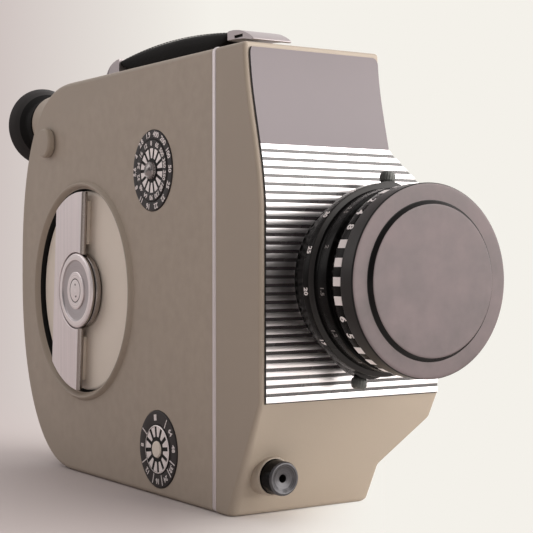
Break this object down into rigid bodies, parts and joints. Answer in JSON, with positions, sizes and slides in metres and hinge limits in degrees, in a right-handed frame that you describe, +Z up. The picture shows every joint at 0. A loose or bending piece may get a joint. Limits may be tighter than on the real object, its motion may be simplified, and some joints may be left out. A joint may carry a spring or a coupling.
{
  "type": "cine camera",
  "caption": "Spring-driven reflex cine camera with a capped zoom lens, folding winding handle, side dials, film chamber and a padded top strap.",
  "frame": {"origin": "middle of the flat base", "axes": "the lens looks along -Y, +X is the left of a person filming, +Z is up"},
  "size_m": [0.1027, 0.3188, 0.2248],
  "materials": {
    "paint": "warm grey textured enamel",
    "bright": "polished",
    "brushed": "brushed",
    "steel": "ground",
    "brass": "turned",
    "black": "satin black",
    "enamel": "light grey enamel",
    "glass": "coated",
    "mirror": "silvered",
    "rubber": "matt",
    "vinyl": "satin grained"
  },
  "bodies": {
    "casing": {"main_housing": "paint", "front_housing": "paint", "trim_band": "bright", "front_plate": "bright", "tripod_bush": "steel", "finder_cover_plug": "paint", "mechanism_plate": "brushed", "film_gate": "bright", "focusing_screen": "glass", "finder_prism": "glass", "finder_tube": "black", "eyepiece_tube": "black", "exposure_scale_ring": "black", "speed_scale_ring": "black", "lens_mount": "steel", "lens_tube": "black", "take_up_spindle": "steel", "supply_spindle": "steel", "strap": "vinyl", "strap_bracket_front": "bright", "strap_bracket_rear": "bright"},
    "film_door": {"film_door": "paint"},
    "door_latch_lower": {"door_latch_lower": "brushed"},
    "door_latch_upper": {"door_latch_upper": "brushed"},
    "winding_key": {"winding_disc": "enamel", "winding_hub": "brushed", "handle_pin_lower": "steel", "handle_pin_upper": "steel", "winding_arbor": "steel", "ratchet_wheel": "steel"},
    "winding_handle": {"winding_handle": "brushed"},
    "mainspring": {"mainspring": "steel"},
    "barrel": {"mainspring_barrel": "brass", "barrel_gear": "brass"},
    "pawl": {"ratchet_pawl": "steel"},
    "transport": {"drive_pinion": "steel", "transport_wheel": "brass"},
    "sprocket_upper": {"sprocket_gear_upper": "brass", "sprocket_upper": "steel"},
    "sprocket_lower": {"sprocket_gear_lower": "brass", "sprocket_lower": "steel"},
    "governor": {"governor": "brass"},
    "take_up_spool": {"take_up_spool": "black"},
    "supply_spool": {"supply_spool": "black"},
    "pressure_plate": {"pressure_plate": "steel"},
    "claw": {"pull_down_claw": "steel"},
    "shutter": {"mirror_shutter": "mirror"},
    "eyepiece": {"eyepiece_lens": "black", "eyecup": "rubber"},
    "exposure_disc": {"exposure_disc": "black"},
    "speed_knob": {"speed_knob": "brushed"},
    "start_button": {"start_button": "black"},
    "aperture_ring": {"aperture_ring": "black"},
    "zoom_ring": {"zoom_ring": "black", "zoom_knob_upper": "black", "zoom_knob_lower": "black"},
    "variator": {"variator_lens": "glass"},
    "focus_ring": {"focus_ring": "black", "front_lens": "glass"},
    "lens_cap": {"lens_cap": "black"}
  },
  "joints": [
    {"name": "film_door_lift", "type": "slide", "parent": "casing", "child": "film_door", "axis": [1, 0, 0], "range_m": [0, 0.05]},
    {"name": "latch_lower_turn", "type": "hinge", "parent": "film_door", "child": "door_latch_lower", "pos_m": [0.0383, -0.018, 0.032], "axis": [1, 0, 0], "range_deg": [0, 90]},
    {"name": "latch_upper_turn", "type": "hinge", "parent": "film_door", "child": "door_latch_upper", "pos_m": [0.0383, -0.018, 0.176], "axis": [1, 0, 0], "range_deg": [0, 90]},
    {"name": "winding_key_turn", "type": "hinge", "parent": "casing", "child": "winding_key", "pos_m": [-0.034, 0.0676, 0.0967], "axis": [1, 0, 0], "continuous": true},
    {"name": "handle_fold", "type": "hinge", "parent": "winding_key", "child": "winding_handle", "pos_m": [-0.0388, 0.06311, 0.09639], "axis": [0, -0.0698, 0.9976], "range_deg": [0, 90]},
    {"name": "barrel_turn", "type": "hinge", "parent": "casing", "child": "barrel", "pos_m": [-0.016, 0.0676, 0.0967], "axis": [1, 0, 0], "continuous": true},
    {"name": "mainspring_turn", "type": "hinge", "parent": "casing", "child": "mainspring", "pos_m": [-0.016, 0.0676, 0.0967], "axis": [1, 0, 0], "continuous": true},
    {"name": "pawl_click", "type": "hinge", "parent": "casing", "child": "pawl", "pos_m": [-0.0284, 0.0846, 0.1101], "axis": [-1, 0, 0], "range_deg": [0, 12]},
    {"name": "transport_turn", "type": "hinge", "parent": "casing", "child": "transport", "pos_m": [-0.004, 0.0154, 0.0967], "axis": [1, 0, 0], "continuous": true},
    {"name": "sprocket_upper_turn", "type": "hinge", "parent": "casing", "child": "sprocket_upper", "pos_m": [0.01, -0.01696, 0.12021], "axis": [1, 0, 0], "continuous": true},
    {"name": "sprocket_lower_turn", "type": "hinge", "parent": "casing", "child": "sprocket_lower", "pos_m": [0.01, -0.01696, 0.07319], "axis": [1, 0, 0], "continuous": true},
    {"name": "governor_turn", "type": "hinge", "parent": "casing", "child": "governor", "pos_m": [-0.018, -0.0159, 0.0465], "axis": [1, 0, 0], "continuous": true},
    {"name": "take_up_spool_turn", "type": "hinge", "parent": "casing", "child": "take_up_spool", "pos_m": [0.0157, 0.088, 0.054], "axis": [1, 0, 0], "continuous": true},
    {"name": "supply_spool_turn", "type": "hinge", "parent": "casing", "child": "supply_spool", "pos_m": [0.0157, 0.088, 0.154], "axis": [1, 0, 0], "continuous": true},
    {"name": "pressure_plate_lift", "type": "slide", "parent": "casing", "child": "pressure_plate", "axis": [0, 1, 0], "range_m": [0, 0.003]},
    {"name": "claw_stroke", "type": "slide", "parent": "casing", "child": "claw", "axis": [0, 0, -1], "range_m": [0, 0.0076]},
    {"name": "shutter_turn", "type": "hinge", "parent": "casing", "child": "shutter", "pos_m": [0.0014, -0.0805, 0.1046], "axis": [0, -0.7071, 0.7071], "continuous": true},
    {"name": "eyepiece_turn", "type": "hinge", "parent": "casing", "child": "eyepiece", "pos_m": [-0.0165, 0.14, 0.1908], "axis": [0, 1, 0], "range_deg": [-60, 60]},
    {"name": "exposure_disc_turn", "type": "hinge", "parent": "casing", "child": "exposure_disc", "pos_m": [-0.0365, -0.0104, 0.156], "axis": [1, 0, 0], "continuous": true},
    {"name": "speed_knob_turn", "type": "hinge", "parent": "casing", "child": "speed_knob", "pos_m": [-0.0365, -0.0159, 0.0225], "axis": [1, 0, 0], "range_deg": [0, 240]},
    {"name": "start_button_press", "type": "slide", "parent": "casing", "child": "start_button", "axis": [0, 1, 0], "range_m": [0, 0.004]},
    {"name": "aperture_ring_turn", "type": "hinge", "parent": "casing", "child": "aperture_ring", "pos_m": [0.0144, -0.106, 0.1046], "axis": [0, 1, 0], "range_deg": [-35, 35]},
    {"name": "zoom_ring_turn", "type": "hinge", "parent": "casing", "child": "zoom_ring", "pos_m": [0.0144, -0.106, 0.1046], "axis": [0, 1, 0], "range_deg": [-40, 40]},
    {"name": "variator_slide", "type": "slide", "parent": "casing", "child": "variator", "axis": [0, 1, 0], "range_m": [-0.0045, 0.0045]},
    {"name": "focus_ring_turn", "type": "hinge", "parent": "casing", "child": "focus_ring", "pos_m": [0.0144, -0.106, 0.1046], "axis": [0, 1, 0], "range_deg": [-130, 130]},
    {"name": "lens_cap_pull", "type": "slide", "parent": "casing", "child": "lens_cap", "axis": [0, -1, 0], "range_m": [0, 0.04]}
  ],
  "couplings": [
    {"joint": "transport_turn", "follows": "barrel_turn", "ratio": -4.8},
    {"joint": "sprocket_upper_turn", "follows": "barrel_turn", "ratio": 8},
    {"joint": "sprocket_lower_turn", "follows": "barrel_turn", "ratio": 8},
    {"joint": "governor_turn", "follows": "barrel_turn", "ratio": 24},
    {"joint": "shutter_turn", "follows": "barrel_turn", "ratio": 24},
    {"joint": "variator_slide", "follows": "zoom_ring_turn", "m_per_rad": 0.0064}
  ]
}
